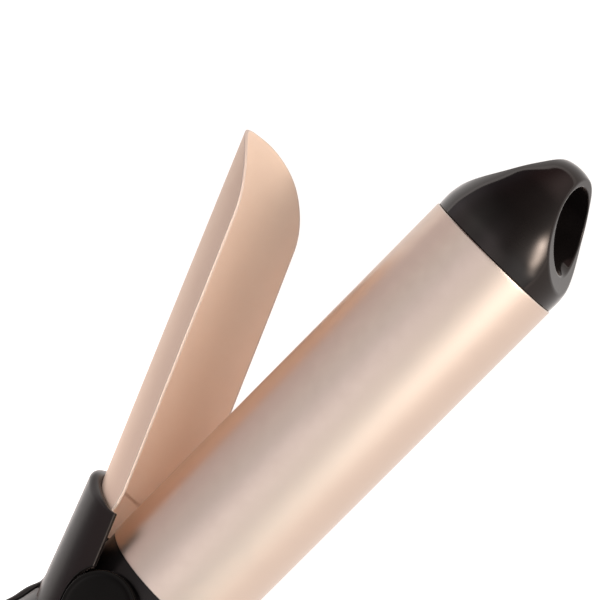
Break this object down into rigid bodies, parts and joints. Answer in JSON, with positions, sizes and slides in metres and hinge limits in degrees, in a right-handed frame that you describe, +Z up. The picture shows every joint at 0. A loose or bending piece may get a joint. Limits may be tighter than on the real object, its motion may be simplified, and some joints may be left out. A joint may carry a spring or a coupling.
{
  "type": "curling iron",
  "caption": "Spring-clamp curling iron: round heated barrel with a hinged curved clamp and thumb lever, cool tip with a hanging hole, handle with buttons, fold-out stand and cord swivel.",
  "frame": {"origin": "on the surface the iron lies on, under the middle of its bounding box", "axes": "+X along the barrel to the cool tip, +Y towards the side the clamp opens to, +Z up; the iron lies on its side"},
  "size_m": [0.3432, 0.0988, 0.0446],
  "materials": {
    "barrel_rose": "satin anodised",
    "clamp_rose": "satin anodised",
    "gloss_black": "polished",
    "neck_black": "semi-gloss",
    "housing_black": "semi-gloss",
    "handle_black": "satin",
    "soft_black": "soft-touch",
    "stand_steel": "satin black",
    "button_rose": "satin rose",
    "button_black": "satin",
    "steel": "plain",
    "black_steel": "black oxide",
    "brass": "plain",
    "raw_aluminium": "extruded",
    "mica": "matt",
    "ceramic_white": "matt",
    "glass_bead": "clear",
    "clear_lens": "clear",
    "board_green": "solder mask",
    "switch_black": "plain",
    "capacitor_red": "sleeved",
    "lead_sleeve": "glass-fibre sleeve"
  },
  "bodies": {
    "handle": {"barrel_tube": "barrel_rose", "cool_tip": "gloss_black", "tip_shield": "mica", "heat_spreaders": "raw_aluminium", "ptc_heater": "ceramic_white", "thermal_fuse": "steel", "thermistor": "glass_bead", "neck_shield": "mica", "neck": "neck_black", "pivot_caps": "gloss_black", "clamp_springs": "steel", "handle_upper": "handle_black", "handle_lower": "handle_black", "handle_screws": "black_steel", "control_panel": "gloss_black", "light_guides": "clear_lens", "circuit_board": "board_green", "tact_switches": "switch_black", "power_triac": "switch_black", "capacitors": "capacitor_red", "heater_leads": "lead_sleeve", "stand_pins": "steel", "tail_cap": "handle_black", "slip_contacts": "brass"},
    "clamp": {"clamp_plate": "clamp_rose", "lever_housing": "housing_black", "thumb_pad": "soft_black", "clamp_rivets": "steel", "pivot_bushes": "brass"},
    "swivel": {"swivel_gland": "handle_black", "slip_rings": "brass", "swivel_clip": "steel"},
    "stand": {"stand": "stand_steel", "stand_pads": "soft_black"},
    "power_button": {"power_button": "button_rose"},
    "plus_button": {"plus_button": "button_black"},
    "minus_button": {"minus_button": "button_black"}
  },
  "joints": [
    {"name": "clamp_hinge", "type": "hinge", "parent": "handle", "child": "clamp", "pos_m": [0.01325, -0.02426, 0.0223], "axis": [0, 0, 1], "range_deg": [-25.3, 4], "stiffness_Nm_per_rad": 0.12, "springref_deg": -29.79, "deforming": ["clamp_springs"]},
    {"name": "swivel_spin", "type": "hinge", "parent": "handle", "child": "swivel", "pos_m": [-0.15855, -0.02336, 0.0223], "axis": [1, 0, 0], "continuous": true},
    {"name": "stand_fold", "type": "hinge", "parent": "handle", "child": "stand", "pos_m": [-0.01105, -0.02936, 0.0223], "axis": [0, 0, 1], "range_deg": [0, 100]},
    {"name": "power_button_press", "type": "slide", "parent": "handle", "child": "power_button", "axis": [0, -1, 0], "range_m": [0, 0.0008], "stiffness_N_per_m": 1500},
    {"name": "plus_button_press", "type": "slide", "parent": "handle", "child": "plus_button", "axis": [0, -1, 0], "range_m": [0, 0.0008], "stiffness_N_per_m": 1500},
    {"name": "minus_button_press", "type": "slide", "parent": "handle", "child": "minus_button", "axis": [0, -1, 0], "range_m": [0, 0.0008], "stiffness_N_per_m": 1500}
  ]
}
